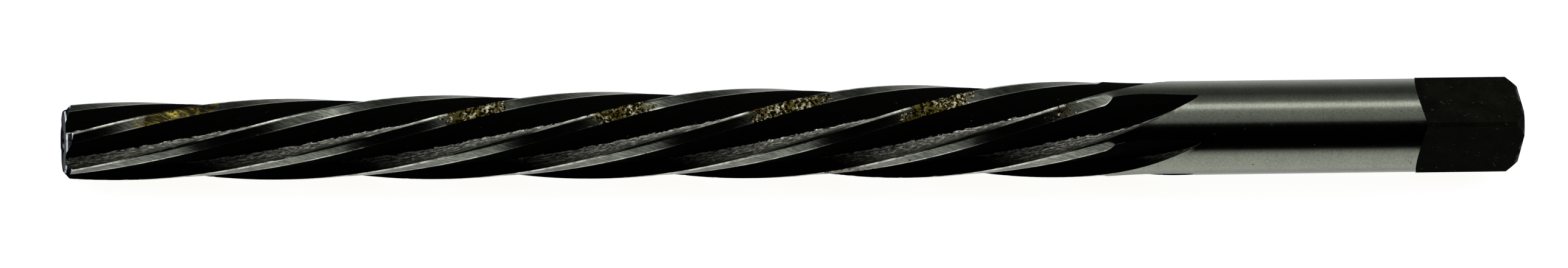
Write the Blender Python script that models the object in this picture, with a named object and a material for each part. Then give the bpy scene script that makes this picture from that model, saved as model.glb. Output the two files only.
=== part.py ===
"""A hand taper reamer with a square end for a tap wrench: one piece of hardened tool steel.

Six flutes on a left-hand helix follow a slow taper from the small end to the neck. Behind each cutting edge
lie a narrow margin at full diameter and a relieved land. The flutes were cut by a wheel that lifted out of
the work over the neck, so each one ends in a shallow point. Both ends keep the centre holes that the tool was
turned and ground on.

The tool is modelled along its own +Z, with the small end's face at zero, and then laid on its side as it comes
to rest on its margins. The lowest line of the taper is level, and the square end points along +X.
"""

import math

import bmesh
import bpy
from mathutils import Matrix, Vector

MM = 0.001

# Lengths along the tool: the flutes at full depth, the neck beyond them, the plain shank and the square.
FLUTED = 112.9 * MM
NECK = 9.6 * MM
SHANK = 26.5 * MM
SQUARE_LENGTH = 11.3 * MM

# Diameters. TAPER is the growth of the diameter for each unit of length.
TIP_DIAMETER = 8.2 * MM
TAPER = 1 / 48
SHANK_DIAMETER = 10.33 * MM
FORGED_DIAMETER = 10.5 * MM

# The teeth. Angles are in the plane across the axis.
TEETH = 6
LEAD = 102.5 * MM
FIRST_EDGE = math.radians(123.9)
MARGIN_ANGLE = math.radians(3.0)
LAND_ANGLE = math.radians(17.0)
RELIEF_ANGLE = math.radians(22.0)
RELIEF_RUNOUT = 1.9 * MM

# The flutes, as shares of the tooth's radius at each place, and the wheel's way out of the work.
CORE_SHARE = 0.67
FILLET_SHARE = 0.07
BACK_SHARE = 0.85
RAKE_LEAN = math.radians(11.0)
WHEEL_RADIUS = 32.0 * MM
WHEEL_LEAN = math.radians(36.0)

# The ends.
SQUARE_ACROSS = 7.75 * MM
SHOULDER_RADIUS = 15.3 * MM
SHOULDER_SLOPE = math.radians(15.0)
END_CHAMFER = 1.05 * MM
END_CHAMFER_DEPTH = 0.9 * MM
TOOTH_CHAMFER = 0.7 * MM
TOOTH_CHAMFER_DEPTH = 0.8 * MM
CENTRE_DIAMETER = 2.3 * MM
CENTRE_ANGLE = math.radians(60.0)
PILOT_DIAMETER = 1.0 * MM
PILOT_DEPTH = 3.2 * MM

# How far the tool rolls from a flat standing upright to where it comes to rest on its margins.
REST_ROLL = math.radians(2.5)

# How finely the surfaces are divided.
TWIST_STEP = math.radians(9.0)
TIP_SPREAD = math.radians(0.6)
SHARP_ANGLE = math.radians(25.0)
RUNOUT_STEPS = 14
NECK_STEPS = 6
SHANK_STEPS = 10
FILLET_POINTS = 3
BACK_POINTS = 3
LAND_POINTS = 4
ROUND_SEGMENTS = 24
SHOULDER_SEGMENTS = 96
HALVINGS = 40
COMB = 60

# A place on the flute's section is a number: these are far out on the rake face, where the fillet begins and
# ends, the heel of the tooth behind, and past it.
RAKE_WAY, FILLET_WAY, BACK_WAY, HEEL_WAY, PAST_WAY = range(5)

PITCH = 2 * math.pi / TEETH
TWIST = -2 * math.pi / LEAD
TAPER_RADIUS = TIP_DIAMETER / 2 + FLUTED * TAPER / 2
SQUARE_START = FLUTED + NECK + SHANK
OVERALL = SQUARE_START + SQUARE_LENGTH


def clear_scene():
    """Empty the scene and leave the file open."""
    for obj in list(bpy.data.objects):
        bpy.data.objects.remove(obj, do_unlink=True)


def new_collection(name):
    collection = bpy.data.collections.new(name)
    bpy.context.scene.collection.children.link(collection)
    return collection


def steel(name, colour, roughness, metallic):
    """One Principled material."""
    material = bpy.data.materials.new(name)
    material.use_nodes = True
    shader = material.node_tree.nodes["Principled BSDF"]
    shader.inputs["Base Color"].default_value = (*colour, 1)
    shader.inputs["Roughness"].default_value = roughness
    shader.inputs["Metallic"].default_value = metallic
    return material


def ease(share):
    """A smooth step from 0 to 1."""
    share = min(max(share, 0), 1)
    return share * share * (3 - 2 * share)


def tool_radius(s):
    """The turned radius: the taper, then the neck down to the shank."""
    if s <= FLUTED:
        return TIP_DIAMETER / 2 + s * TAPER / 2
    return TAPER_RADIUS + (SHANK_DIAMETER / 2 - TAPER_RADIUS) * ease((s - FLUTED) / NECK)


def wheel_lift(s):
    """How far the flute's wheel has risen out of the work at this place, on its own radius."""
    past = max(0, s - FLUTED)
    if past >= WHEEL_RADIUS:
        return WHEEL_RADIUS
    return WHEEL_RADIUS - math.sqrt(WHEEL_RADIUS**2 - past**2)


def relief_start(s):
    """The angle behind the margin where the relieved land begins. It grows where the relief runs out."""
    radius = tool_radius(s)
    deepest = radius * (1 - math.cos(RELIEF_ANGLE))
    rise = deepest * ease((s - FLUTED) / RELIEF_RUNOUT)
    return RELIEF_ANGLE - math.acos(min(1, math.cos(RELIEF_ANGLE) * radius / (radius - rise)))


def land_radius(s, behind):
    """The land's radius at this angle behind its cutting edge: full on the margin, a flat on the relief."""
    radius = tool_radius(s)
    past = behind - MARGIN_ANGLE
    begun = relief_start(s)
    if past <= begun or begun >= RELIEF_ANGLE:
        return radius
    rise = radius * (1 - math.cos(RELIEF_ANGLE) / math.cos(RELIEF_ANGLE - begun))
    return min(radius, rise + radius * math.cos(RELIEF_ANGLE) / math.cos(RELIEF_ANGLE - past))


def flute_circles(radius):
    """The section's two arcs at full depth: the fillet at the foot of the rake face, and the bulging back.

    The cutting edge lies on +X. The rake face leans back from it to the fillet, and the back runs from the
    fillet, tangent to it, through the heel of the tooth behind.
    """
    fillet = FILLET_SHARE * radius
    bulge = BACK_SHARE * radius
    down = Vector((-math.cos(RAKE_LEAN), math.sin(RAKE_LEAN)))
    start = Vector((radius, 0)) + fillet * Vector((math.sin(RAKE_LEAN), math.cos(RAKE_LEAN)))
    toward = down.dot(start)
    depth = -toward - math.sqrt(toward**2 - start.dot(start) + (CORE_SHARE * radius + fillet) ** 2)
    fillet_centre = start + depth * down
    flat = math.cos(RELIEF_ANGLE) / math.cos(RELIEF_ANGLE - LAND_ANGLE + MARGIN_ANGLE)
    heel = radius * flat * Vector((math.cos(PITCH - LAND_ANGLE), math.sin(PITCH - LAND_ANGLE)))
    span = heel - fillet_centre
    along = (span.dot(span) + (bulge + fillet) ** 2 - bulge**2) / (2 * span.length)
    across = math.sqrt(max(0, (bulge + fillet) ** 2 - along**2))
    side = Vector((-span.y, span.x)) / span.length
    back_centre = fillet_centre + along * span / span.length + across * side
    return fillet_centre, back_centre, heel


def flute_outline(s, way):
    """A point of the flute's section, which the wheel lifts as a whole. The cutting edge below it is on +X."""
    radius = tool_radius(s)
    fillet_centre, back_centre, heel = flute_circles(radius)
    foot = -Vector((math.sin(RAKE_LEAN), math.cos(RAKE_LEAN)))
    inward = back_centre - fillet_centre
    if way <= FILLET_WAY:
        out = Vector((math.cos(RAKE_LEAN), -math.sin(RAKE_LEAN)))
        point = fillet_centre + FILLET_SHARE * radius * foot + (FILLET_WAY - way) * radius * out
    elif way <= BACK_WAY:
        sweep = (math.atan2(inward.y, inward.x) - math.atan2(foot.y, foot.x)) % (-2 * math.pi)
        turn = math.atan2(foot.y, foot.x) + (way - FILLET_WAY) * sweep
        point = fillet_centre + FILLET_SHARE * radius * Vector((math.cos(turn), math.sin(turn)))
    else:
        first = math.atan2(-inward.y, -inward.x)
        last = math.atan2(heel.y - back_centre.y, heel.x - back_centre.x)
        turn = first + (way - BACK_WAY) * (last - first)
        point = back_centre + BACK_SHARE * radius * Vector((math.cos(turn), math.sin(turn)))
    return point + wheel_lift(s) * Vector((math.cos(WHEEL_LEAN), math.sin(WHEEL_LEAN)))


def above_land(s, way):
    """How far the flute's section stands outside the land there. It is negative inside the work."""
    point = flute_outline(s, way)
    behind = PITCH - math.atan2(point.y, point.x)
    return point.length - land_radius(s, behind)


def crossing(s, inside, outside):
    """The way between these two where the flute's section meets the land."""
    for _ in range(HALVINGS):
        middle = (inside + outside) / 2
        if above_land(s, middle) < 0:
            inside = middle
        else:
            outside = middle
    return (inside + outside) / 2


def deepest_way(s):
    """Where the section reaches deepest, found on a fine comb over the fillet and the back."""
    ways = [FILLET_WAY + (HEEL_WAY - FILLET_WAY) * step / COMB for step in range(COMB + 1)]
    return min(ways, key=lambda way: above_land(s, way))


def flute_end():
    """Where the wheel leaves the work."""
    inside = FLUTED
    outside = OVERALL
    for _ in range(HALVINGS):
        middle = (inside + outside) / 2
        if above_land(middle, deepest_way(middle)) < 0:
            inside = middle
        else:
            outside = middle
    return inside


def flute_ways():
    """Where the section's points lie when the flute is at full depth."""
    fillet = [FILLET_WAY + step / FILLET_POINTS for step in range(FILLET_POINTS + 1)]
    back = [BACK_WAY + (step + 1) / (BACK_POINTS + 1) for step in range(BACK_POINTS)]
    return fillet + back


def tooth_points(s):
    """One tooth space and the land beyond it, as (radius, angle) from the cutting edge below."""
    middle = deepest_way(s)
    low = crossing(s, middle, RAKE_WAY)
    high = crossing(s, middle, PAST_WAY)
    full_low = crossing(0, FILLET_WAY, RAKE_WAY)
    ways = [low]
    for way in flute_ways():
        ways.append(low + (high - low) * (way - full_low) / (HEEL_WAY - full_low))
    ways.append(high)
    outline = [flute_outline(s, way) for way in ways]
    points = [(point.length, math.atan2(point.y, point.x)) for point in outline]
    heel = PITCH - points[-1][1]
    narrow = heel / (2 * LAND_POINTS)
    wide = heel - heel / LAND_POINTS
    first = max(narrow, min(wide, MARGIN_ANGLE + relief_start(s)))
    for step in range(1, LAND_POINTS):
        behind = heel + (first - heel) * step / (LAND_POINTS - 1)
        points.append((land_radius(s, behind), PITCH - behind))
    return points


def tip_points(s):
    """The same count of points on the full circle, with the flute's points close round its tip."""
    shape = tooth_points(s)
    count = len(shape) - LAND_POINTS + 1
    angles = [angle for _, angle in shape]
    middle = (angles[0] + angles[count - 1]) / 2
    for step in range(count):
        angles[step] = middle + TIP_SPREAD * (step / (count - 1) - 1 / 2)
    return [(tool_radius(s), angle) for angle in angles]


def ring(shape, bm, s, edge_angle):
    """The vertices of one station: the tooth's points repeated round the axis."""
    verts = []
    for tooth in range(TEETH):
        for radius, angle in shape:
            turn = edge_angle - tooth * PITCH - angle
            verts.append(bm.verts.new((radius * math.cos(turn), radius * math.sin(turn), s)))
    return verts


def fluted_stations(end):
    """The places of the sections: evenly along the helix, closer where the relief and the flutes run out."""
    count = max(2, round(abs(TWIST) * FLUTED / TWIST_STEP))
    places = [FLUTED * step / count for step in range(count)]
    return places + [FLUTED + (end - FLUTED) * step / RUNOUT_STEPS for step in range(RUNOUT_STEPS)]


def tool_blank(collection, materials):
    """The whole tool but for its chamfers, square and centre holes: a loft through its sections."""
    bm = bmesh.new()
    end = flute_end()
    rings = []
    for s in fluted_stations(end):
        rings.append(ring(tooth_points(s), bm, s, FIRST_EDGE + TWIST * s))
    last = fluted_stations(end)[-1]
    rings.append(ring(tip_points(last), bm, end, FIRST_EDGE + TWIST * end))
    per_tooth = len(rings[0]) // TEETH
    per_flute = per_tooth - LAND_POINTS
    even = [PITCH * (step + 1 / 2) / per_tooth for step in range(per_tooth)]
    shank_angle = FIRST_EDGE + TWIST * end
    forged = FORGED_DIAMETER / 2
    step_up = abs(forged - SHANK_DIAMETER / 2)
    plain = max(end, FLUTED + NECK)
    places = [FLUTED + NECK * step / NECK_STEPS for step in range(NECK_STEPS + 1)]
    turned = [(s, tool_radius(s)) for s in places if s > end]
    turned.append((plain + (SQUARE_START - plain) / SHANK_STEPS, SHANK_DIAMETER / 2))
    turned.append((SQUARE_START, SHANK_DIAMETER / 2))
    turned.append((SQUARE_START + step_up, forged))
    turned.append((OVERALL - END_CHAMFER, forged))
    turned.append((OVERALL, forged - END_CHAMFER_DEPTH))
    for s, radius in turned:
        rings.append(ring([(radius, angle) for angle in even], bm, s, shank_angle))
    fluted = len(fluted_stations(end))
    for number, (near, far) in enumerate(zip(rings, rings[1:])):
        for step in range(len(near)):
            after = (step + 1) % len(near)
            face = bm.faces.new((near[step], near[after], far[after], far[step]))
            face.material_index = 1 if number < fluted and step % per_tooth < per_flute else 0
    bm.faces.new(rings[0])
    bm.faces.new(rings[-1])
    bmesh.ops.recalc_face_normals(bm, faces=bm.faces)
    return add_mesh("taper_reamer", bm, collection, materials)


def add_mesh(name, bm, collection, materials=()):
    mesh = bpy.data.meshes.new(name)
    bm.to_mesh(mesh)
    bm.free()
    obj = bpy.data.objects.new(name, mesh)
    for material in materials:
        mesh.materials.append(material)
    collection.objects.link(obj)
    return obj


def as_cutter(obj):
    obj.hide_render = True
    obj.display_type = "WIRE"
    return obj


def cut(obj, cutter):
    modifier = obj.modifiers.new(cutter.name, "BOOLEAN")
    modifier.operation = "DIFFERENCE"
    modifier.solver = "EXACT"
    modifier.object = cutter


def turned_cutter(name, profile, segments, collection):
    """A closed outline of (radius, height) points, turned round Z."""
    bm = bmesh.new()
    verts = [bm.verts.new((radius, 0, height)) for radius, height in profile]
    for first, second in zip(verts, verts[1:]):
        bm.edges.new((first, second))
    if profile[0][0] > 0:
        bm.edges.new((verts[-1], verts[0]))
    bmesh.ops.spin(
        bm,
        geom=bm.verts[:] + bm.edges[:],
        cent=(0, 0, 0),
        axis=(0, 0, 1),
        angle=2 * math.pi,
        steps=segments,
        use_merge=True,
    )
    bmesh.ops.remove_doubles(bm, verts=bm.verts, dist=1e-6)
    bmesh.ops.recalc_face_normals(bm, faces=bm.faces)
    return as_cutter(add_mesh(name, bm, collection))


def tooth_chamfer(collection):
    """The collar that is turned away round the small end's teeth."""
    radius = TIP_DIAMETER / 2
    slope = TOOTH_CHAMFER_DEPTH / TOOTH_CHAMFER
    outer = radius + 2 * TOOTH_CHAMFER_DEPTH
    inner = radius - TOOTH_CHAMFER_DEPTH
    below = TOOTH_CHAMFER
    above = (outer - inner) / slope
    profile = [(inner - below * slope, -below), (outer, -below), (outer, above)]
    return turned_cutter("tooth_chamfer", profile, 2 * ROUND_SEGMENTS, collection)


def centre_hole(name, collection):
    """A 60 degree centre with its pilot, opening down through the plane at zero."""
    wide = CENTRE_DIAMETER / 2
    narrow = PILOT_DIAMETER / 2
    spread = math.tan(CENTRE_ANGLE / 2)
    proud = TOOTH_CHAMFER
    profile = [
        (0, -proud),
        (wide + proud * spread, -proud),
        (narrow, (wide - narrow) / spread),
        (narrow, PILOT_DEPTH),
        (0, PILOT_DEPTH + narrow * spread),
    ]
    return turned_cutter(name, profile, ROUND_SEGMENTS, collection)


def flat_cutter(side, collection):
    """One milled flat: a shallow round cutter with a sloping rim, so the shoulder is scooped and leans back."""
    depth = FORGED_DIAMETER
    wide = SHOULDER_RADIUS + depth * math.tan(SHOULDER_SLOPE)
    bm = bmesh.new()
    bmesh.ops.create_cone(
        bm,
        cap_ends=True,
        segments=SHOULDER_SEGMENTS,
        radius1=SHOULDER_RADIUS,
        radius2=wide,
        depth=depth,
    )
    middle = SQUARE_START - shoulder_sag() + SHOULDER_RADIUS
    out = Matrix.Rotation(math.pi / 2, 4, "Y")
    lift = Matrix.Translation((SQUARE_ACROSS / 2 + depth / 2, 0, middle))
    spin = Matrix.Rotation(side * math.pi / 2, 4, "Z")
    bmesh.ops.transform(bm, matrix=spin @ lift @ out, verts=bm.verts)
    return as_cutter(add_mesh(f"flat_{side + 1}", bm, collection))


def shoulder_sag():
    """How much further the middle of a flat reaches towards the shank than its corners."""
    half = min(math.sqrt(FORGED_DIAMETER**2 - SQUARE_ACROSS**2) / 2, SHOULDER_RADIUS)
    return SHOULDER_RADIUS - math.sqrt(SHOULDER_RADIUS**2 - half**2)


def lay_down(obj, helpers, collection):
    """Turn the axis to +X, tip the taper's lowest line level and bring the box's bottom centre to the origin."""
    rest = bpy.data.objects.new("rest", None)
    rest.empty_display_size = TIP_DIAMETER
    collection.objects.link(rest)
    for child in [obj, *helpers]:
        child.parent = rest
    roll = Matrix.Rotation(REST_ROLL, 4, "Z")
    along = Matrix(((0, 0, 1), (1, 0, 0), (0, 1, 0))).to_4x4()
    level = Matrix.Rotation(-math.atan(TAPER / 2), 4, "Y")
    turn = level @ along @ roll
    graph = bpy.context.evaluated_depsgraph_get()
    corners = [turn @ vert.co for vert in obj.evaluated_get(graph).data.vertices]
    low = Vector([min(point[axis] for point in corners) for axis in range(3)])
    high = Vector([max(point[axis] for point in corners) for axis in range(3)])
    shift = Vector((-(low.x + high.x) / 2, -(low.y + high.y) / 2, -low.z))
    rest.matrix_world = Matrix.Translation(shift) @ turn


def main():
    clear_scene()
    parts = new_collection("taper_reamer")
    cutters = new_collection("cutters")
    cutters.hide_render = True
    ground = steel("ground_steel", (0.42, 0.41, 0.38), 0.28, 1.0)
    scale = steel("black_scale", (0.035, 0.034, 0.032), 0.42, 0.6)
    tool = tool_blank(parts, (ground, scale))
    cut(tool, tooth_chamfer(cutters))
    cut(tool, centre_hole("small_centre", cutters))
    far = centre_hole("square_centre", cutters)
    far.matrix_world = Matrix.Translation((0, 0, OVERALL)) @ Matrix.Rotation(math.pi, 4, "X")
    cut(tool, far)
    for side in range(4):
        cut(tool, flat_cutter(side, cutters))
    tool.data.shade_smooth()
    tool.data.set_sharp_from_angle(angle=SHARP_ANGLE)
    bpy.context.view_layer.update()
    lay_down(tool, list(cutters.objects), parts)


main()
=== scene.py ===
"""The looks of a hand taper reamer: ground lands and shank, black scale in the flutes, and a black square.

The whole tool is one mesh that stands for its one solid. It follows the solid's own section along the same
helix, with the same sizes. Its facets are finer, so that nicked edges and pitted lands have a shape.
"""

import math

import bmesh
import bpy
from mathutils import Matrix, Vector, noise


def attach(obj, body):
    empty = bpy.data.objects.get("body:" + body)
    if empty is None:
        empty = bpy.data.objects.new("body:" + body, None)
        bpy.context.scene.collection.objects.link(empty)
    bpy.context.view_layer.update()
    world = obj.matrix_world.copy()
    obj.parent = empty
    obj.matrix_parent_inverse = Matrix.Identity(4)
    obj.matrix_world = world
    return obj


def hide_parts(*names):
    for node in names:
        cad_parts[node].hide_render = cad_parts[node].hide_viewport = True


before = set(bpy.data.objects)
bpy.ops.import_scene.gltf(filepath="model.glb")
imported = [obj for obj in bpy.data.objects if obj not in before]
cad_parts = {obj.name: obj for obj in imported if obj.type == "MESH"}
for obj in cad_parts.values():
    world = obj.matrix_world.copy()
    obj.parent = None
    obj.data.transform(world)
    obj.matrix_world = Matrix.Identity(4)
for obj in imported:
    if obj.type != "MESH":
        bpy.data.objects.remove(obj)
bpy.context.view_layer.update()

MM = 0.001

# The tool's own sizes, as its solid has them. Lengths run from the small end's face.
FLUTED = 112.9 * MM
NECK = 9.6 * MM
SHANK = 26.5 * MM
SQUARE_LENGTH = 11.3 * MM
TIP_DIAMETER = 8.2 * MM
TAPER = 1 / 48
SHANK_DIAMETER = 10.33 * MM
FORGED_DIAMETER = 10.5 * MM
TEETH = 6
LEAD = 102.5 * MM
FIRST_EDGE = math.radians(123.9)
MARGIN_ANGLE = math.radians(3.0)
LAND_ANGLE = math.radians(17.0)
RELIEF_ANGLE = math.radians(22.0)
RELIEF_RUNOUT = 1.9 * MM
CORE_SHARE = 0.67
FILLET_SHARE = 0.07
BACK_SHARE = 0.85
RAKE_LEAN = math.radians(11.0)
WHEEL_RADIUS = 32.0 * MM
WHEEL_LEAN = math.radians(36.0)
SQUARE_ACROSS = 7.75 * MM
SHOULDER_RADIUS = 15.3 * MM
SHOULDER_SLOPE = math.radians(15.0)
END_CHAMFER = 1.05 * MM
END_CHAMFER_DEPTH = 0.9 * MM
TOOTH_CHAMFER = 0.7 * MM
TOOTH_CHAMFER_DEPTH = 0.8 * MM
CENTRE_DIAMETER = 2.3 * MM
CENTRE_ANGLE = math.radians(60.0)
PILOT_DIAMETER = 1.0 * MM
PILOT_DEPTH = 3.2 * MM

PITCH = 2 * math.pi / TEETH
TWIST = -2 * math.pi / LEAD
TAPER_RADIUS = TIP_DIAMETER / 2 + FLUTED * TAPER / 2
SQUARE_START = FLUTED + NECK + SHANK
OVERALL = SQUARE_START + SQUARE_LENGTH

# A place on the flute's section is a number: these are far out on the rake face, where the fillet begins and
# ends, the heel of the tooth behind, and past it.
RAKE_WAY, FILLET_WAY, BACK_WAY, HEEL_WAY, PAST_WAY = range(5)

# How often a search is halved, and how many steps the search for the deepest place takes.
HALVINGS = 34
COMB = 40

# The stretches round one tooth, from a cutting edge up its rake face to the next edge: name, columns of the
# mesh, and where the stretch begins as a share of the tooth, which the materials read.
STRETCHES = (
    ("rake", 5, 0.0),
    ("fillet", 5, 0.22),
    ("back", 6, 0.38),
    ("relief", 8, 0.72),
    ("margin", 3, 0.95),
)

# How fine the mesh is: its rings lie this far apart along the flutes and where they run out. The rings up to
# the lip are drawn together to make the small end's chamfer. At the joint the shank meets the milled end.
STATION = 0.27 * MM
RUNOUT_STATION = 0.15 * MM
LIP = 2.0 * MM
JOINT = 144.0 * MM
SHANK_RINGS = 12
RING_BEFORE_SQUARE = 1.2 * MM
CUTTER_SEGMENTS = 256

# A centre hole has a turned lip this wide, and a margin takes no more than this share of its land.
CENTRE_LIP = 0.06 * MM
WIDEST_MARGIN = 0.9

# Vertices closer than these become one, a face this near the joint lies on it, and a sharper edge than this
# shows as a crease.
MERGE = 0.006 * MM
SEAM_MERGE = 0.0001 * MM
NEAR = 0.01 * MM
CREASE = math.radians(32)

# Where the tool lies in the row frame: its axis starts here, is this high at the middle and climbs by half
# the taper, and the tool is rolled to rest.
AXIS_START = Vector((-80.1491, 0, 4.0998)) * MM
AXIS_HEIGHT = 4.93 * MM
CLIMB = math.atan(TAPER / 2)
REST_ROLL = math.radians(2.5)

# Stains on the lands: the tooth, where they begin and end in millimetres, and how gold and how rusty each is.
STAINS = (
    (0, 5.0, 18.5, 1.0, 0.1),
    (5, 24.5, 31.5, 0.15, 0.25),
    (4, 38.0, 50.0, 0.5, 1.0),
    (3, 54.0, 65.5, 0.5, 1.0),
    (2, 71.5, 85.0, 0.6, 1.0),
    (1, 88.0, 101.0, 0.6, 1.0),
    (0, 104.0, 112.6, 0.05, 0.6),
    (3, 12.0, 21.0, 0.3, 0.5),
    (1, 33.0, 46.0, 0.6, 0.3),
    (5, 60.0, 71.0, 0.4, 0.8),
    (0, 78.0, 90.0, 0.5, 0.6),
    (4, 98.0, 109.0, 0.2, 0.7),
)
STAIN_FADE = 5.0 * MM

# Pits in the rusty lands, and nicks in the cutting edges and heels.
PIT_DEPTH = 0.035 * MM
PIT_SIZE = 0.45 * MM
NICK_DEPTH = 0.10 * MM
NICK_SIZE = 0.8 * MM
NICK_RARITY = 0.3

# The camera, from the photograph: which way it stands round the tool, how it is turned, how far away it is,
# and where along the tool it looks. Its lens and sensor are in millimetres.
VIEW_SWING = math.radians(10.7)
VIEW_ROLL = math.radians(0.714)
VIEW_UP = math.radians(45.0)
VIEW_DISTANCE = 826.3 * MM
VIEW_AIM = 78.2 * MM
VIEW_DROP = 0.109 * MM
LENS = 174.8
SENSOR = 36.0
NEAREST_SEEN = 10.0 * MM

# How far one tooth reaches round the tool, in millimetres, for patterns that follow the helix.
TOOTH_ARC = 4.9


def ease(share):
    """A smooth step from 0 to 1."""
    share = min(max(share, 0), 1)
    return share * share * (3 - 2 * share)


def tool_radius(s):
    """The turned radius: the taper, the neck, and then the plain shank."""
    if s <= FLUTED:
        return TIP_DIAMETER / 2 + s * TAPER / 2
    return TAPER_RADIUS + (SHANK_DIAMETER / 2 - TAPER_RADIUS) * ease((s - FLUTED) / NECK)


def wheel_lift(s):
    """How far the flute's wheel has risen out of the work at this place."""
    past = min(max(0, s - FLUTED), WHEEL_RADIUS)
    return WHEEL_RADIUS - math.sqrt(WHEEL_RADIUS**2 - past**2)


def relief_start(s):
    """The angle behind the margin where the relieved land begins. It grows where the relief runs out."""
    radius = tool_radius(s)
    rise = radius * (1 - math.cos(RELIEF_ANGLE)) * ease((s - FLUTED) / RELIEF_RUNOUT)
    return RELIEF_ANGLE - math.acos(min(1, math.cos(RELIEF_ANGLE) * radius / (radius - rise)))


def land_radius(s, behind):
    """The land's radius at this angle behind its edge: full on the margin, a flat on the relief."""
    radius = tool_radius(s)
    past = behind - MARGIN_ANGLE
    begun = relief_start(s)
    if past <= begun or begun >= RELIEF_ANGLE:
        return radius
    rise = radius * (1 - math.cos(RELIEF_ANGLE) / math.cos(RELIEF_ANGLE - begun))
    return min(radius, rise + radius * math.cos(RELIEF_ANGLE) / math.cos(RELIEF_ANGLE - past))


def flute_circles(radius):
    """The section's fillet and bulging back at full depth, and the heel of the tooth behind."""
    fillet = FILLET_SHARE * radius
    bulge = BACK_SHARE * radius
    down = Vector((-math.cos(RAKE_LEAN), math.sin(RAKE_LEAN)))
    start = Vector((radius, 0)) + fillet * Vector((math.sin(RAKE_LEAN), math.cos(RAKE_LEAN)))
    toward = down.dot(start)
    depth = -toward - math.sqrt(toward**2 - start.dot(start) + (CORE_SHARE * radius + fillet) ** 2)
    fillet_centre = start + depth * down
    flat = math.cos(RELIEF_ANGLE) / math.cos(RELIEF_ANGLE - LAND_ANGLE + MARGIN_ANGLE)
    heel = radius * flat * Vector((math.cos(PITCH - LAND_ANGLE), math.sin(PITCH - LAND_ANGLE)))
    span = heel - fillet_centre
    along = (span.dot(span) + (bulge + fillet) ** 2 - bulge**2) / (2 * span.length)
    across = math.sqrt(max(0, (bulge + fillet) ** 2 - along**2))
    side = Vector((-span.y, span.x)) / span.length
    back_centre = fillet_centre + along * span / span.length + across * side
    return fillet_centre, back_centre, heel


def flute_outline(s, way):
    """A point of the flute's section, which the wheel lifts as a whole. The edge below it is on +X."""
    radius = tool_radius(s)
    fillet_centre, back_centre, heel = flute_circles(radius)
    foot = -Vector((math.sin(RAKE_LEAN), math.cos(RAKE_LEAN)))
    inward = back_centre - fillet_centre
    if way <= FILLET_WAY:
        out = Vector((math.cos(RAKE_LEAN), -math.sin(RAKE_LEAN)))
        point = fillet_centre + FILLET_SHARE * radius * foot + (FILLET_WAY - way) * radius * out
    elif way <= BACK_WAY:
        sweep = (math.atan2(inward.y, inward.x) - math.atan2(foot.y, foot.x)) % (-2 * math.pi)
        turn = math.atan2(foot.y, foot.x) + (way - FILLET_WAY) * sweep
        point = fillet_centre + FILLET_SHARE * radius * Vector((math.cos(turn), math.sin(turn)))
    else:
        first = math.atan2(-inward.y, -inward.x)
        last = math.atan2(heel.y - back_centre.y, heel.x - back_centre.x)
        turn = first + (way - BACK_WAY) * (last - first)
        point = back_centre + BACK_SHARE * radius * Vector((math.cos(turn), math.sin(turn)))
    return point + wheel_lift(s) * Vector((math.cos(WHEEL_LEAN), math.sin(WHEEL_LEAN)))


def above_land(s, way):
    """How far the flute's section stands outside the land there. It is negative inside the work."""
    point = flute_outline(s, way)
    behind = PITCH - math.atan2(point.y, point.x)
    return point.length - land_radius(s, behind)


def crossing(s, inside, outside):
    """The way between these two where the flute's section meets the land."""
    for _ in range(HALVINGS):
        middle = (inside + outside) / 2
        if above_land(s, middle) < 0:
            inside = middle
        else:
            outside = middle
    return (inside + outside) / 2


def deepest_way(s):
    """Where the section reaches deepest."""
    ways = [FILLET_WAY + (HEEL_WAY - FILLET_WAY) * step / COMB for step in range(COMB + 1)]
    return min(ways, key=lambda way: above_land(s, way))


def flute_end():
    """Where the wheel leaves the work."""
    inside = FLUTED
    outside = OVERALL
    for _ in range(HALVINGS):
        middle = (inside + outside) / 2
        if above_land(middle, deepest_way(middle)) < 0:
            inside = middle
        else:
            outside = middle
    return inside


FLUTE_END = flute_end()
FULL_LOW = crossing(0, FILLET_WAY, RAKE_WAY)
COLUMNS = [(name, step / count) for name, count, _ in STRETCHES for step in range(count)]
COUNTS = {name: count for name, count, _ in STRETCHES}
STARTS = {name: start for name, _, start in STRETCHES}
HEEL_SHARE = STARTS["relief"]
sections = {}


def column_shares():
    """Where the columns lie round their tooth, from 0 at one cutting edge to 1 at the next."""
    ends = [start for _, _, start in STRETCHES[1:]] + [1.0]
    shares = []
    for (_, count, start), end in zip(STRETCHES, ends):
        shares += [start + step / count * (end - start) for step in range(count)]
    return shares + [1.0]


SHARES = column_shares()


def tooth_section(s):
    """One tooth space and the land beyond, as (radius, angle) from the edge below, for each column."""
    if s in sections:
        return sections[s]
    middle = deepest_way(s)
    low = crossing(s, middle, RAKE_WAY)
    high = crossing(s, middle, PAST_WAY)
    ends = {
        "rake": (FULL_LOW, FILLET_WAY),
        "fillet": (FILLET_WAY, BACK_WAY),
        "back": (BACK_WAY, HEEL_WAY),
    }
    top = flute_outline(s, high)
    heel = PITCH - math.atan2(top.y, top.x)
    bottom = flute_outline(s, low)
    edge = math.atan2(bottom.y, bottom.x)
    first = min(MARGIN_ANGLE + relief_start(s), WIDEST_MARGIN * heel)
    even = heel - (heel + edge) * COUNTS["relief"] / (COUNTS["relief"] + COUNTS["margin"])
    first += ease((s - FLUTED - RELIEF_RUNOUT) / RELIEF_RUNOUT) * (even - first)
    points = []
    for name, part in COLUMNS:
        if name in ends:
            way = ends[name][0] + part * (ends[name][1] - ends[name][0])
            point = flute_outline(s, low + (high - low) * (way - FULL_LOW) / (HEEL_WAY - FULL_LOW))
            points.append((point.length, math.atan2(point.y, point.x)))
            continue
        behind = heel + (first - heel) * part if name == "relief" else first - (first + edge) * part
        points.append((land_radius(s, behind), PITCH - behind))
    sections[s] = points
    return points


def in_round(radius, turn, s):
    """A point at this radius and angle round the tool's axis."""
    return Vector((radius * math.cos(turn), radius * math.sin(turn), s))


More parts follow.
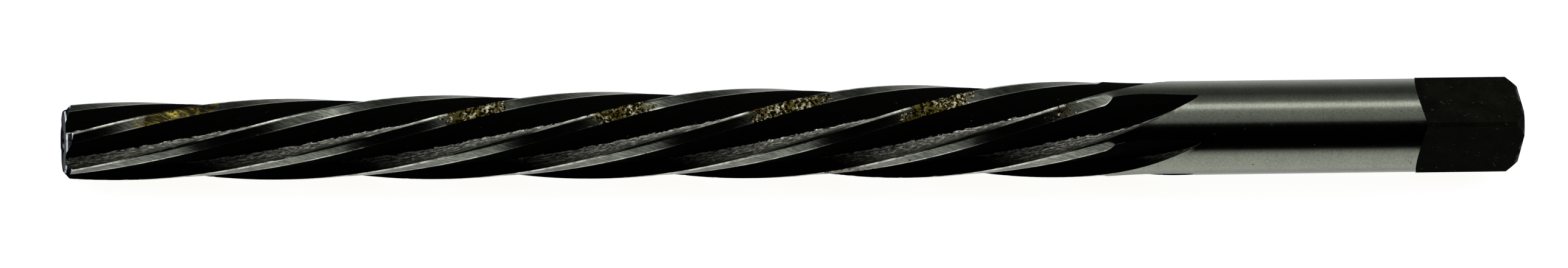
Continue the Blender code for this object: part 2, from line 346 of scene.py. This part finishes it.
def fluted_place(s, tooth, column):
    """Where this column's point of this tooth lies at a station of the flutes."""
    radius, angle = tooth_section(s)[column]
    return in_round(radius, FIRST_EDGE + TWIST * s - tooth * PITCH - angle, s)


def stations():
    """The places of the rings along the flutes."""
    full = round(FLUTED / STATION)
    rest = round((FLUTE_END - FLUTED) / RUNOUT_STATION)
    even = [FLUTED * step / full for step in range(full)]
    return even + [FLUTED + (FLUTE_END - FLUTED) * step / rest for step in range(rest + 1)]


def chamfered(s, tooth, column):
    """A point near the small end, drawn back along its own column to the edge of the tooth chamfer."""
    end_radius = TIP_DIAMETER / 2 - TOOTH_CHAMFER_DEPTH
    radius, angle = tooth_section(0)[column]
    if s == 0:
        return in_round(min(radius, end_radius), FIRST_EDGE - tooth * PITCH - angle, 0)
    if s >= LIP:
        return fluted_place(s, tooth, column)
    slope = TOOTH_CHAMFER_DEPTH / TOOTH_CHAMFER
    start = max(0, (radius - end_radius) / (slope - TAPER / 2))
    first = stations()[1]
    drawn = start + (LIP - start) * (s - first) / (LIP - first)
    # Rounded to a nanometre, so that columns at one place share its section.
    return fluted_place(round(drawn, 9), tooth, column)


def stain_at(s, tooth):
    """How gold and how rusty the land of this tooth is here."""
    gold = rust = 0
    for marked, begin, end, goldness, rustiness in STAINS:
        if marked != tooth:
            continue
        part = ease((s - begin * MM) / STAIN_FADE) * ease((end * MM - s) / STAIN_FADE)
        gold = max(gold, goldness * part)
        rust = max(rust, rustiness * part)
    return gold, rust


def wear(bm, marks):
    """Nick the cutting edges and heels, pit the rusty lands and write how stained each vertex is."""
    tooth_of, column_of, gold_of, rust_of, land_of = marks
    heel = next(number for number, (name, _) in enumerate(COLUMNS) if name == "relief")
    last = len(COLUMNS) - 1
    for vert in bm.verts:
        column = vert[column_of]
        s = vert.co.z
        if column and column < heel:
            continue
        tooth = (vert[tooth_of] + (column >= heel)) % TEETH
        gold, rust = stain_at(s, tooth)
        vert[gold_of] = gold
        vert[rust_of] = rust
        vert[land_of] = 1 - ease((s - FLUTED) / RELIEF_RUNOUT)
        if s > FLUTE_END:
            continue
        inward = -Vector((vert.co.x, vert.co.y, 0)).normalized()
        pit = noise.noise(vert.co / PIT_SIZE) + 0.5 * noise.noise(vert.co / (0.4 * PIT_SIZE))
        depth = PIT_DEPTH * rust * max(0, pit)
        if column in (0, last, heel):
            # Each tooth and column reads its own stretch of the noise.
            chip = noise.noise(Vector((s / NICK_SIZE, 9.1 * tooth, column)))
            chip += 0.5 * noise.noise(Vector((3.1 * s / NICK_SIZE, 4.7 * tooth, column)))
            share = 1 if column == 0 else 0.5
            depth += share * NICK_DEPTH * max(0, chip - NICK_RARITY)
        vert.co += depth * inward


def ring_place(turn_of, s, radius):
    """Where the vertices of a plain ring go: on one circle, each at the turn of its tooth and column."""
    return lambda tooth, column: in_round(radius, turn_of(tooth, column), s)


def extend(bm, edges, marks, place):
    """Extrude a ring of edges to where place(tooth, column) says, and return the new ring."""
    grown = bmesh.ops.extrude_edge_only(bm, edges=edges)["geom"]
    fresh = {item for item in grown if isinstance(item, bmesh.types.BMVert)}
    for vert in fresh:
        vert.co = place(vert[marks[0]], vert[marks[1]])
    return [item for item in grown if isinstance(item, bmesh.types.BMEdge) and set(item.verts) <= fresh]


def centre(bm, edges, marks, base, inward, turn_of):
    """Close the ring of edges with an end face and its centre hole, which runs inward from base."""
    wide = CENTRE_DIAMETER / 2
    narrow = PILOT_DIAMETER / 2
    spread = math.tan(CENTRE_ANGLE / 2)
    cone = (wide - narrow) / spread
    steps = (
        (wide + CENTRE_LIP, 0),
        (wide, CENTRE_LIP / 2),
        (narrow, cone),
        (narrow, PILOT_DEPTH),
        (narrow / 2, PILOT_DEPTH + narrow * spread / 2),
    )
    for radius, depth in steps:
        edges = extend(bm, edges, marks, ring_place(turn_of, base + inward * depth, radius))
    bmesh.ops.holes_fill(bm, edges=edges, sides=0)


def first_ring(bm, marks, place):
    """A closed ring of vertices, one for each column of each tooth."""
    verts = []
    for tooth in range(TEETH):
        for column in range(len(COLUMNS)):
            vert = bm.verts.new(place(tooth, column))
            vert[marks[0]] = tooth
            vert[marks[1]] = column
            verts.append(vert)
    return [bm.edges.new((near, far)) for near, far in zip(verts, verts[1:] + verts[:1])]


WHERE_MARKS = ("tooth", "column")
LOOK_MARKS = ("gold", "rust", "land")


def marked_mesh():
    """A bmesh whose vertices know their tooth, their column, their stains and whether they lie on a land."""
    bm = bmesh.new()
    layers = bm.verts.layers
    for name in WHERE_MARKS:
        layers.int.new(name)
    for name in LOOK_MARKS:
        layers.float.new(name)
    return bm, [layers.int[name] for name in WHERE_MARKS] + [layers.float[name] for name in LOOK_MARKS]


def tip_turn(tooth, column):
    """The angle of a column on the small end's face."""
    return FIRST_EDGE - (tooth + SHARES[column]) * PITCH


def shank_turn(tooth, column):
    """The angle of a column on the shank, as at the flutes' end, where each flute has closed up."""
    return FIRST_EDGE + TWIST * FLUTE_END - tooth * PITCH - tooth_section(FLUTE_END)[column][1]


def fluted_body():
    """The flutes, the neck and the shank up to the joint, with the small end closed."""
    bm, marks = marked_mesh()
    places = stations()
    around = TEETH * len(COLUMNS)
    along = len(places) - 1
    bmesh.ops.create_grid(bm, x_segments=around, y_segments=along, size=1)
    seam = [vert for vert in bm.verts if abs(vert.co.x) > 1 - 0.5 / around]
    for vert in bm.verts:
        number = round((vert.co.x + 1) / 2 * around) % around
        station = round((vert.co.y + 1) / 2 * along)
        vert[marks[0]], vert[marks[1]] = divmod(number, len(COLUMNS))
        vert.co = chamfered(places[station], vert[marks[0]], vert[marks[1]])
    bmesh.ops.remove_doubles(bm, verts=seam, dist=SEAM_MERGE)
    painted_rim_highlights = [edge for edge in bm.edges if edge.is_boundary]
    start = [edge for edge in painted_rim_highlights if edge.verts[0].co.z < FLUTED]
    edges = [edge for edge in painted_rim_highlights if edge.verts[0].co.z > FLUTED]
    centre(bm, start, marks, 0, 1, tip_turn)
    for step in range(1, SHANK_RINGS + 1):
        s = FLUTE_END + (JOINT - FLUTE_END) * step / SHANK_RINGS
        edges = extend(bm, edges, marks, ring_place(shank_turn, s, tool_radius(s)))
    bmesh.ops.remove_doubles(bm, verts=bm.verts, dist=MERGE)
    wear(bm, marks)
    return bm


def square_blank():
    """The end of the shank before its flats are milled, closed at the joint."""
    bm, marks = marked_mesh()
    edges = first_ring(bm, marks, ring_place(shank_turn, JOINT, tool_radius(JOINT)))
    bmesh.ops.holes_fill(bm, edges=edges, sides=0)
    forged = FORGED_DIAMETER / 2
    step = forged - SHANK_DIAMETER / 2
    steps = [
        (SQUARE_START - RING_BEFORE_SQUARE, SHANK_DIAMETER / 2),
        (SQUARE_START, SHANK_DIAMETER / 2),
        (SQUARE_START + step, forged),
        (OVERALL - END_CHAMFER, forged),
        (OVERALL, forged - END_CHAMFER_DEPTH),
    ]
    for s, radius in steps:
        edges = extend(bm, edges, marks, ring_place(shank_turn, s, radius))
    centre(bm, edges, marks, OVERALL, -1, shank_turn)
    bmesh.ops.remove_doubles(bm, verts=bm.verts, dist=MERGE)
    bmesh.ops.recalc_face_normals(bm, faces=bm.faces)
    return bm


def flat_cutter(side):
    """The cutter of one flat: round, with a sloping rim, so that the shoulder is scooped and leans back."""
    depth = FORGED_DIAMETER
    wide = SHOULDER_RADIUS + depth * math.tan(SHOULDER_SLOPE)
    half = math.sqrt(FORGED_DIAMETER**2 - SQUARE_ACROSS**2) / 2
    sag = SHOULDER_RADIUS - math.sqrt(SHOULDER_RADIUS**2 - half**2)
    bm = bmesh.new()
    radii = {"radius1": SHOULDER_RADIUS, "radius2": wide}
    bmesh.ops.create_cone(bm, cap_ends=True, segments=CUTTER_SEGMENTS, depth=depth, **radii)
    out = Matrix.Rotation(math.pi / 2, 4, "Y")
    lift = Matrix.Translation((SQUARE_ACROSS / 2 + depth / 2, 0, SQUARE_START - sag + SHOULDER_RADIUS))
    spin = Matrix.Rotation(side * math.pi / 2, 4, "Z")
    bmesh.ops.transform(bm, matrix=spin @ lift @ out, verts=bm.verts)
    return mesh_object(f"flat_cutter_{side + 1}", bm)


def mesh_object(name, bm):
    mesh = bpy.data.meshes.new(name)
    bm.to_mesh(mesh)
    bm.free()
    obj = bpy.data.objects.new(name, mesh)
    bpy.context.scene.collection.objects.link(obj)
    return obj


def milled_end():
    """The end of the shank with its four flats milled, as a mesh that is still closed at the joint."""
    blank = mesh_object("square_blank", square_blank())
    cutters = [flat_cutter(side) for side in range(4)]
    for cutter in cutters:
        modifier = blank.modifiers.new(cutter.name, "BOOLEAN")
        modifier.operation = "DIFFERENCE"
        modifier.solver = "EXACT"
        modifier.object = cutter
    graph = bpy.context.evaluated_depsgraph_get()
    milled = bpy.data.meshes.new_from_object(blank.evaluated_get(graph))
    for helper in [blank, *cutters]:
        bpy.data.objects.remove(helper, do_unlink=True)
    return milled


# The finishes, in the order of the mesh's materials. A ground face of the shank lies nearly as far out as its
# round does. A bright face is nearly square to the tool, or lies in the centre hole. A flute's face begins
# before the heel, by more than the gap.
GROUND, FLUTE, BLACK, BRIGHT = range(4)
ROUND_SHARE = 0.985
SQUARE_TO_TOOL = 0.6
HOLE_RADIUS = CENTRE_DIAMETER / 2 + 0.1 * MM
SHARE_GAP = 0.001


def finish_of(face, marks):
    """Which of the four finishes a face has, from where it lies."""
    middle = face.calc_center_median()
    radius = math.hypot(middle.x, middle.y)
    if middle.z > JOINT:
        plain = radius > ROUND_SHARE * SHANK_DIAMETER / 2
        return GROUND if plain and middle.z < SQUARE_START else BLACK
    if middle.z > FLUTE_END:
        return GROUND
    if abs(face.normal.z) > SQUARE_TO_TOOL and middle.z < LIP / 2 or radius < HOLE_RADIUS:
        return BRIGHT
    shares = [SHARES[vert[marks[1]]] for vert in face.verts]
    between = [share for share in shares if share > 0]
    return FLUTE if min(between) < HEEL_SHARE - SHARE_GAP and max(between) <= HEEL_SHARE else GROUND


def map_helix(bm, marks):
    """A map whose first number runs along the tool and whose second runs round its teeth."""
    helix = bm.loops.layers.uv.new("helix")
    for face in bm.faces:
        rounds = [vert[marks[0]] + SHARES[vert[marks[1]]] for vert in face.verts]
        wraps = max(rounds) - min(rounds) > TEETH / 2
        for loop, place in zip(face.loops, rounds):
            if wraps and place < TEETH / 2:
                place += TEETH
            loop[helix].uv = (loop.vert.co.z / OVERALL, place / TEETH)


def sharpen_rims(mesh):
    """Keep the border of two finishes crisp, as at a flute's rim, even where it is nearly flat."""
    bm = bmesh.new()
    bm.from_mesh(mesh)
    for edge in bm.edges:
        finishes = {face.material_index for face in edge.link_faces}
        if len(finishes) > 1:
            edge.smooth = False
    bm.to_mesh(mesh)
    bm.free()


def tool_axes():
    """The tool's own X, Y and Z in the row frame. Z is its axis."""
    along = Vector((math.cos(CLIMB), 0, math.sin(CLIMB)))
    above = Vector((-math.sin(CLIMB), 0, math.cos(CLIMB)))
    across = Vector((0, 1, 0))
    first = math.cos(REST_ROLL) * across + math.sin(REST_ROLL) * above
    second = math.cos(REST_ROLL) * above - math.sin(REST_ROLL) * across
    return first, second, along


def sort_by_place(bm):
    """Put vertices and faces in order of place. The Boolean doesn't number them the same in each run."""
    skew = Vector((0.618, 0.325, 1.0))
    bm.verts.sort(key=lambda vert: vert.co.dot(skew))
    bm.faces.sort(key=lambda face: face.calc_center_median().dot(skew))


def on_joint(face):
    """Whether a face is the many-sided one that closes the blank at the joint."""
    return len(face.verts) > TEETH and abs(face.calc_center_median().z - JOINT) < NEAR


def make_reamer(materials):
    """The whole tool as one closed mesh, laid where its solid lies."""
    body = fluted_body()
    mesh = bpy.data.meshes.new("fluted_body")
    body.to_mesh(mesh)
    body.free()
    milled = milled_end()
    bm, _ = marked_mesh()
    bm.from_mesh(mesh)
    bm.from_mesh(milled)
    for leftover in (mesh, milled):
        bpy.data.meshes.remove(leftover)
    marks = [bm.verts.layers.int[name] for name in WHERE_MARKS]
    bmesh.ops.delete(bm, geom=[face for face in bm.faces if on_joint(face)], context="FACES_ONLY")
    sort_by_place(bm)
    bmesh.ops.remove_doubles(bm, verts=bm.verts, dist=MERGE)
    slits = [edge for edge in bm.edges if edge.is_boundary]
    bmesh.ops.holes_fill(bm, edges=slits, sides=0)
    bmesh.ops.recalc_face_normals(bm, faces=bm.faces)
    map_helix(bm, marks)
    for face in bm.faces:
        face.material_index = finish_of(face, marks)
    turn = Matrix(tool_axes()).transposed().to_4x4()
    bmesh.ops.transform(bm, matrix=Matrix.Translation(AXIS_START) @ turn, verts=bm.verts)
    open_edges = sum(not edge.is_manifold for edge in bm.edges)
    print("reamer mesh:", len(bm.faces), "faces,", open_edges, "open edges")
    obj = mesh_object("taper_reamer_finish", bm)
    for material in materials:
        obj.data.materials.append(material)
    obj.data.shade_smooth()
    obj.data.set_sharp_from_angle(angle=CREASE)
    sharpen_rims(obj.data)
    return obj


class Value:
    """One socket of a shader, so that its maths reads as Python."""

    def __init__(self, graph, socket):
        self.graph = graph
        self.socket = socket

    def maths(self, operation, *values):
        return self.graph.make("ShaderNodeMath", {"operation": operation}, dict(enumerate(values)))

    def __add__(self, other):
        return self.maths("ADD", self, other)

    def __radd__(self, other):
        return self.maths("ADD", other, self)

    def __sub__(self, other):
        return self.maths("SUBTRACT", self, other)

    def __rsub__(self, other):
        return self.maths("SUBTRACT", other, self)

    def __mul__(self, other):
        return self.maths("MULTIPLY", self, other)

    def __rmul__(self, other):
        return self.maths("MULTIPLY", other, self)

    def __truediv__(self, other):
        return self.maths("DIVIDE", self, other)

    def __neg__(self):
        return self.maths("MULTIPLY", self, -1)

    def __mod__(self, other):
        return self.maths("FLOORED_MODULO", self, other)

    def step(self, low, high):
        """A smooth step from 0 at low to 1 at high."""
        settings = {"interpolation_type": "SMOOTHSTEP"}
        return self.graph.make("ShaderNodeMapRange", settings, {0: self, 1: low, 2: high})

    def scaled(self, factors):
        """A vector stretched along each of its axes."""
        return self.graph.make("ShaderNodeVectorMath", {"operation": "MULTIPLY"}, {0: self, 1: factors})

    def part(self, number):
        return self.graph.make("ShaderNodeSeparateXYZ", {}, {0: self}, number)


class Graph:
    """The nodes of one material or of the world."""

    def __init__(self, owner):
        owner.use_nodes = True
        self.tree = owner.node_tree
        self.tree.nodes.clear()

    def make(self, kind, settings, values, out=0):
        """One node: its settings first, then the numbers or links of its sockets."""
        node = self.tree.nodes.new(kind)
        for name, value in settings.items():
            if name == "stops":
                ramp = node.color_ramp.elements
                for _ in range(len(value) - len(ramp)):
                    ramp.new(1)
                for element, (place, colour) in zip(ramp, value):
                    element.position = place
                    element.color = (*colour, 1)
            else:
                setattr(node, name, value)
        for name, value in values.items():
            socket = node.inputs[name]
            if isinstance(value, Value):
                self.tree.links.new(value.socket, socket)
            else:
                socket.default_value = value
        return Value(self, node.outputs[out])

    def blend(self, low, high, factor):
        """Two colours mixed."""
        colours = {6: low, 7: high}
        for place, colour in colours.items():
            if isinstance(colour, tuple):
                colours[place] = (*colour, 1)
        return self.make("ShaderNodeMix", {"data_type": "RGBA"}, {0: factor, **colours}, 2)

    def grain(self, place, scale, detail, rough, bend=0.0):
        """A noise from 0 to 1, mostly near a half."""
        values = {"Vector": place, "Scale": scale, "Detail": detail}
        values |= {"Roughness": rough, "Distortion": bend}
        return self.make("ShaderNodeTexNoise", {}, values)

    def place(self):
        """The place on the piece, in millimetres."""
        metres = self.make("ShaderNodeTexCoord", {}, {}, "Object")
        return metres.scaled((1 / MM, 1 / MM, 1 / MM))

    def mark(self, name):
        return self.make("ShaderNodeAttribute", {"attribute_name": name}, {}, "Fac")

    def helix(self):
        """Along the tool in millimetres, and round it in teeth."""
        where = self.make("ShaderNodeUVMap", {"uv_map": "helix"}, {})
        return where.part(0) * (OVERALL / MM), where.part(1) * TEETH

    def vector(self, x, y):
        return self.make("ShaderNodeCombineXYZ", {}, {0: x, 1: y})

    def bump(self, height, distance, strength, under=None):
        values = {"Height": height, "Distance": distance, "Strength": strength}
        if under:
            values["Normal"] = under
        return self.make("ShaderNodeBump", {}, values)

    def finish(self, settings, colour, roughness, metallic, normal):
        """The shader itself and the output."""
        values = {"Base Color": colour, "Roughness": roughness, "Metallic": metallic, "Normal": normal}
        surface = self.make("ShaderNodeBsdfPrincipled", {}, {**settings, **values})
        self.close(surface)

    def ray(self, kind):
        """1 for the rays of this kind, and 0 for the others."""
        return self.make("ShaderNodeLightPath", {}, {}, kind)

    def close(self, surface, kind="ShaderNodeOutputMaterial"):
        """The output of a material, or of the world."""
        output = self.tree.nodes.new(kind)
        self.tree.links.new(surface.socket, output.inputs["Surface"])


def ground_steel():
    """Ground lands, neck and shank: fine grain, faint turning lines, and stains and rust on the lands."""
    material = bpy.data.materials.new("ground_steel")
    g = Graph(material)
    place = g.place()
    along, around = g.helix()
    share = around % 1.0
    across = around * TOOTH_ARC
    land = g.mark("land")
    fine = g.grain(place, 4.6, 3.0, 0.7)
    turned = g.grain(place.scaled((7.0, 0.4, 0.4)), 1.0, 3.0, 0.6)
    cloud = g.grain(place, 0.45, 3.0, 0.55)
    hatch = g.grain(g.vector(along * 3.4 + across * 5.0, along * 0.25 - across * 0.5), 1.0, 2.0, 0.6)
    lines = hatch.step(0.38, 0.62)
    tone = fine * 1.5 + turned * 0.4 + cloud * 0.4 + land * (lines - 0.5) * 1.1 - 0.65
    colour = g.blend((0.165, 0.178, 0.145), (0.355, 0.382, 0.310), tone)
    colour = g.blend(colour, (0.05, 0.06, 0.055), land * (0.93 - cloud))

    # The margins and the heels are rubbed bright in places.
    margin = (share - 0.945).step(0.0, 0.01) * land
    heel = (HEEL_SHARE + 0.035 - share).step(0.0, 0.015) * land
    rubbed = g.grain(g.vector(along * 0.7, around), 1.0, 3.0, 0.6).step(0.38, 0.58)
    colour = g.blend(colour, (0.85, 0.84, 0.74), (margin * 0.8 + heel * 0.75) * (rubbed * 0.7 + 0.3))
    spots = g.grain(place, 1.3, 2.0, 0.5).step(0.73, 0.78)
    colour = g.blend(colour, (0.02, 0.018, 0.014), spots * 0.8)

    # A gold film, and rust in chips and pits with a dark halo.
    crust = g.grain(place, 1.5, 5.0, 0.72).step(0.3, 0.7)
    flake = g.grain(place, 2.7, 5.0, 0.72)
    clump = g.grain(place, 0.55, 2.0, 0.5)
    gold = (g.mark("gold") * 1.9 - crust - 0.2).step(0.0, 0.7)
    rust = (g.mark("rust") * 1.25 - crust - 0.2).step(0.0, 0.12)
    streaked = clump.step(0.42, 0.6) * flake.step(0.42, 0.62) + hatch.step(0.5, 0.66) * 0.4
    film = g.blend((0.022, 0.018, 0.002), (0.62, 0.50, 0.10), streaked)
    colour = g.blend(colour, film, gold * 0.95)
    chips = flake.step(0.53, 0.59) * clump.step(0.43, 0.55)
    pits = (0.515 - flake).step(0.0, 0.03)
    scab = g.blend((0.12, 0.095, 0.016), (0.84, 0.80, 0.60), chips)
    scab = g.blend(scab, (0.003, 0.0025, 0.0015), pits)
    halo = (g.mark("rust") * 1.3 - crust * 0.5).step(0.0, 0.6)
    colour = g.blend(colour, (0.05, 0.042, 0.014), halo * 0.7)
    colour = g.blend(colour, scab, rust)

    rough = 0.075 + fine * 0.12 + land * 0.06 + spots * 0.25 + gold * 0.10
    roughness = rough + rust * (0.38 - rough)
    metallic = 1.0 - rust * chips * 0.4
    normal = g.bump(fine * 0.8 + turned * 0.4, 0.0026 * MM, 0.6)
    normal = g.bump(land * lines, 0.0035 * MM, 0.6, normal)
    normal = g.bump(rust * chips * 0.5 + gold * flake * 0.12, 0.12 * MM, 1.0, normal)
    g.finish({}, colour, roughness, metallic, normal)
    return material


def flute_steel():
    """The flutes: rough cut metal on the rake face and in the fillet, black scale on the back, and painted
    shade that turns the bare metal black low on the tool.
    """
    material = bpy.data.materials.new("flute_scale")
    g = Graph(material)
    place = g.place()
    along, around = g.helix()
    share = around % 1.0
    across = around * TOOTH_ARC
    streak = g.grain(g.vector(along * 0.4, across * 8.0), 1.0, 4.0, 0.7)
    sparkle = g.grain(g.vector(along * 1.5, across * 5.5), 1.0, 3.0, 0.7)
    height = place.part(2) - place.part(0) * math.tan(CLIMB) - AXIS_HEIGHT / MM

    # Bare metal from the cutting edge up to a ragged border, which draws back where the flute runs out.
    ragged = g.grain(g.vector(along * 1.1, across * 2.0), 1.0, 5.0, 0.7)
    runout = along.step(FLUTED / MM - 4, FLUTED / MM + 3)
    border = 0.325 + (ragged - 0.5) * 0.25 - runout * 0.12
    bare = (border - share).step(0.0, 0.025)
    burrs = (share - border + 0.09).step(0.0, 0.04) * sparkle.step(0.44, 0.52) * ragged.step(0.36, 0.5)
    bright = (streak.step(0.42, 0.68) * 0.45 + sparkle.step(0.5, 0.6) * 0.8) * share.step(-0.04, 0.28)
    metal = g.blend((0.035, 0.036, 0.028), (1.0, 1.0, 0.86), bright)
    metal = g.blend(metal, (1.0, 1.0, 0.92), burrs)
    specks = sparkle.step(0.69, 0.75) * (0.62 - share).step(0.0, 0.2)
    # The bare metal fades to the scale's black from 1.8 mm above the axis to 0.9 mm below it. This is painted
    # shade, standing for the overhead light that the teeth above keep from the lower flutes.
    shown = (bare + specks * 0.4 * (1.0 - bare)) * height.step(-0.9, 1.8)
    colour = g.blend((0.0010, 0.0010, 0.0007), metal, shown)

    # Torn metal stands up as a lip along the border.
    lip = (share - border + 0.1).step(0.0, 0.05) * bare
    torn = g.grain(g.vector(along * 1.5, across * 1.5), 1.0, 1.0, 0.5) * lip
    roughness = 0.72 - shown * 0.12 - lip * 0.26
    normal = g.bump(streak * 0.4 + sparkle * (0.8 - lip * 0.6) + torn * 3.0, 0.3 * MM, 1.0)
    g.finish({"Specular IOR Level": 0.015}, colour, roughness, shown * 0.97, normal)
    return material


def black_oxide():
    """The square's black oxide, with a few light scratches and fine milling lines."""
    material = bpy.data.materials.new("black_oxide")
    g = Graph(material)
    place = g.place()
    cloud = g.grain(place, 0.5, 4.0, 0.6)
    fine = g.grain(place, 5.0, 3.0, 0.7)
    milled = g.grain(place.scaled((3.2, 2.0, 2.0)), 1.0, 2.0, 0.5, 0.6)
    colour = g.blend((0.0004, 0.0005, 0.0002), (0.0085, 0.0095, 0.0055), cloud * 1.1 + fine * 0.9 - 0.6)
    scratch = g.grain(place.scaled((1.4, 5.5, 5.5)), 1.0, 2.0, 0.4, 1.2).step(0.72, 0.75)
    nick = g.grain(place, 2.3, 2.0, 0.5).step(0.73, 0.76)
    rim = (place.part(0) + fine * 0.5).step(80.0, 80.4) * cloud.step(0.45, 0.6)
    shown = scratch * 0.35 + nick * 0.5 + rim * 0.8
    colour = g.blend(colour, (0.2, 0.205, 0.2), shown)
    roughness = 0.5 + fine * 0.15
    normal = g.bump(fine * 0.8 + milled * 0.6, 0.012 * MM, 0.8)
    g.finish({"Specular IOR Level": 0.02}, colour, roughness, shown * 0.7, normal)
    return material


def end_steel():
    """The small end's dark face, its centre hole and the tooth chamfers, with painted highlights on the
    chamfers' edges.
    """
    material = bpy.data.materials.new("end_steel")
    g = Graph(material)
    place = g.place()
    fine = g.grain(place, 6.0, 3.0, 0.6)
    cloud = g.grain(place, 1.1, 3.0, 0.6)
    clean = (fine * 0.5 + cloud * 0.7).step(0.45, 0.85)
    colour = g.blend((0.008, 0.010, 0.012), (0.12, 0.13, 0.145), clean)

    # Both edges of the tooth chamfer carry a painted highlight, a thin bright line where they would catch the
    # light.
    high = place.part(2) - AXIS_START.z / MM
    square = place.part(1) * place.part(1) + high * high
    radius = square.maths("SQRT", square)
    inner = (TIP_DIAMETER / 2 - TOOTH_CHAMFER_DEPTH) / MM
    painted_rim_highlights = (radius - inner + 0.04).step(0.0, 0.04) - (radius - inner - 0.14).step(0.0, 0.06)
    painted_rim_highlights += (radius - TIP_DIAMETER / 2 / MM + 0.18).step(0.0, 0.06)
    colour = g.blend(colour, (0.80, 0.85, 0.90), painted_rim_highlights * cloud.step(0.3, 0.5))
    normal = g.bump(fine, 0.004 * MM, 0.6)
    g.finish({"Specular Tint": (0.10, 0.12, 0.15, 1.0)}, colour, 0.28 + painted_rim_highlights * 0.25, 1.0, normal)
    return material


# What the tool reflects: an angle in degrees, from the table's front edge over the top to its back, and how
# bright the sky is there.
SKY = (
    (0, 0.0),
    (45.5, 0.0),
    (52.5, 0.02),
    (56.5, 0.24),
    (63.5, 0.33),
    (81.5, 0.42),
    (87.5, 0.62),
    (92.5, 1.45),
    (99.5, 1.6),
    (104.5, 0.7),
    (109.5, 0.3),
    (122.5, 0.14),
    (133.5, 0.085),
    (145.5, 0.10),
    (155.5, 0.16),
    (163.5, 0.28),
    (180, 0.5),
)

# The ramp holds the sky divided by this, because its colours end at 1.
SKY_TOP = 2.0

# The table: how many millimetres in front of the tool its painted glow still reaches the tool's reflections,
# half its width in metres, and how far it lies below the tool's lowest point.
FLOOR_REACH = 22.7
TABLE_HALF = 1.5
TABLE_DROP = 0.02 * MM

# The two lamps beyond the tool's ends: their size in metres, their power in watts, and how many metres
# outward, behind and above they hang.
LAMP_SIZE = 0.5
LAMP_POWER = 5.0
LAMP_PLACE = (0.85, 0.25, 0.5)


def studio():
    """The sky that lights the tool, white where the camera looks at it."""
    world = bpy.data.worlds.new("studio")
    bpy.context.scene.world = world
    g = Graph(world)
    way = g.make("ShaderNodeTexCoord", {}, {}, "Generated")
    angle = way.part(2).maths("ARCTAN2", way.part(2), -way.part(1))
    stops = [(degrees / 180, (level / SKY_TOP,) * 3) for degrees, level in SKY]
    light = g.make("ShaderNodeValToRGB", {"stops": stops}, {0: angle / math.pi})
    seen = g.ray("Is Camera Ray")
    sky = g.make("ShaderNodeBackground", {}, {0: light, 1: SKY_TOP})
    white = g.make("ShaderNodeBackground", {}, {0: (1, 1, 1, 1), 1: 1.0})
    both = g.make("ShaderNodeMixShader", {}, {0: seen, 1: sky, 2: white})
    g.close(both, "ShaderNodeOutputWorld")


def table():
    """A plain white table. In the tool's reflections it glows with a painted pool of light that dims away in
    front, as under one lamp, and with a painted shadow beneath the tool.
    """
    bm = bmesh.new()
    bmesh.ops.create_grid(bm, x_segments=1, y_segments=1, size=TABLE_HALF)
    bmesh.ops.translate(bm, vec=(0, 0, -TABLE_DROP), verts=bm.verts)
    floor = mesh_object("table", bm)
    material = bpy.data.materials.new("white_table")
    material.cycles.emission_sampling = "NONE"
    g = Graph(material)
    far = g.place().part(1)
    ahead = far * (-1 / FLOOR_REACH)
    front = ahead.maths("MAXIMUM", ahead, 0.0)
    fall = front * front * front * -1.0
    painted_light_pool = fall.maths("EXPONENT", fall)
    # What the tool's reflections see of the table is painted light: a pool that fades forward, a painted
    # shadow from just in front of the tool to beneath it, and a little less glow far behind.
    level = painted_light_pool * 0.9 - far.step(-6.0, -3.8) * 0.3 - far.step(4.0, 40.0) * 0.05
    seen = g.ray("Is Camera Ray")
    mirrored = g.ray("Is Glossy Ray")
    matt = g.make("ShaderNodeBsdfDiffuse", {}, {0: (0.8, 0.8, 0.8, 1)})
    shine = g.make("ShaderNodeEmission", {}, {0: (1, 1, 1, 1), 1: level})
    away = g.make("ShaderNodeMixShader", {}, {0: mirrored, 1: matt, 2: shine})
    shade = g.make("ShaderNodeBsdfDiffuse", {}, {0: (0.13, 0.16, 0.25, 1)})
    white = g.make("ShaderNodeEmission", {}, {0: (0.968, 0.960, 0.935, 1), 1: 1.0})
    near = g.make("ShaderNodeAddShader", {}, {0: white, 1: shade})
    g.close(g.make("ShaderNodeMixShader", {}, {0: seen, 1: away, 2: near}))
    floor.data.materials.append(material)


def side_lamps():
    """Two soft lamps beyond the tool's ends, which light it without showing in its sides."""
    out, behind, above = LAMP_PLACE
    for side in (-1, 1):
        light = bpy.data.lights.new("end_lamp", "AREA")
        light.shape = "SQUARE"
        light.size = LAMP_SIZE
        light.energy = LAMP_POWER
        lamp = bpy.data.objects.new("end_lamp", light)
        lamp.location = (side * out, behind, above)
        lamp.rotation_euler = (-lamp.location).to_track_quat("-Z", "Y").to_euler()
        bpy.context.scene.collection.objects.link(lamp)


def camera():
    """The camera stands where the photograph was taken from."""
    first, second, along = tool_axes()
    toward = -math.cos(VIEW_UP) * first + math.sin(VIEW_UP) * second
    over = math.sin(VIEW_UP) * first + math.cos(VIEW_UP) * second
    back = math.cos(VIEW_SWING) * toward - math.sin(VIEW_SWING) * along
    right = math.cos(VIEW_SWING) * along + math.sin(VIEW_SWING) * toward
    rolled = math.cos(VIEW_ROLL) * right - math.sin(VIEW_ROLL) * over
    up = math.sin(VIEW_ROLL) * right + math.cos(VIEW_ROLL) * over
    data = bpy.data.cameras.new("camera")
    data.lens = LENS
    data.sensor_width = SENSOR
    data.clip_start = NEAREST_SEEN
    obj = bpy.data.objects.new("camera", data)
    turn = Matrix((rolled, up, back)).transposed().to_4x4()
    place = AXIS_START + VIEW_AIM * along + VIEW_DISTANCE * back - VIEW_DROP * up
    obj.matrix_world = Matrix.Translation(place) @ turn
    bpy.context.scene.collection.objects.link(obj)
    bpy.context.scene.camera = obj


camera()
studio()
table()
side_lamps()
reamer = make_reamer((ground_steel(), flute_steel(), black_oxide(), end_steel()))
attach(reamer, "root")
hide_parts("taper_reamer")
bpy.context.scene.view_settings.view_transform = "Standard"
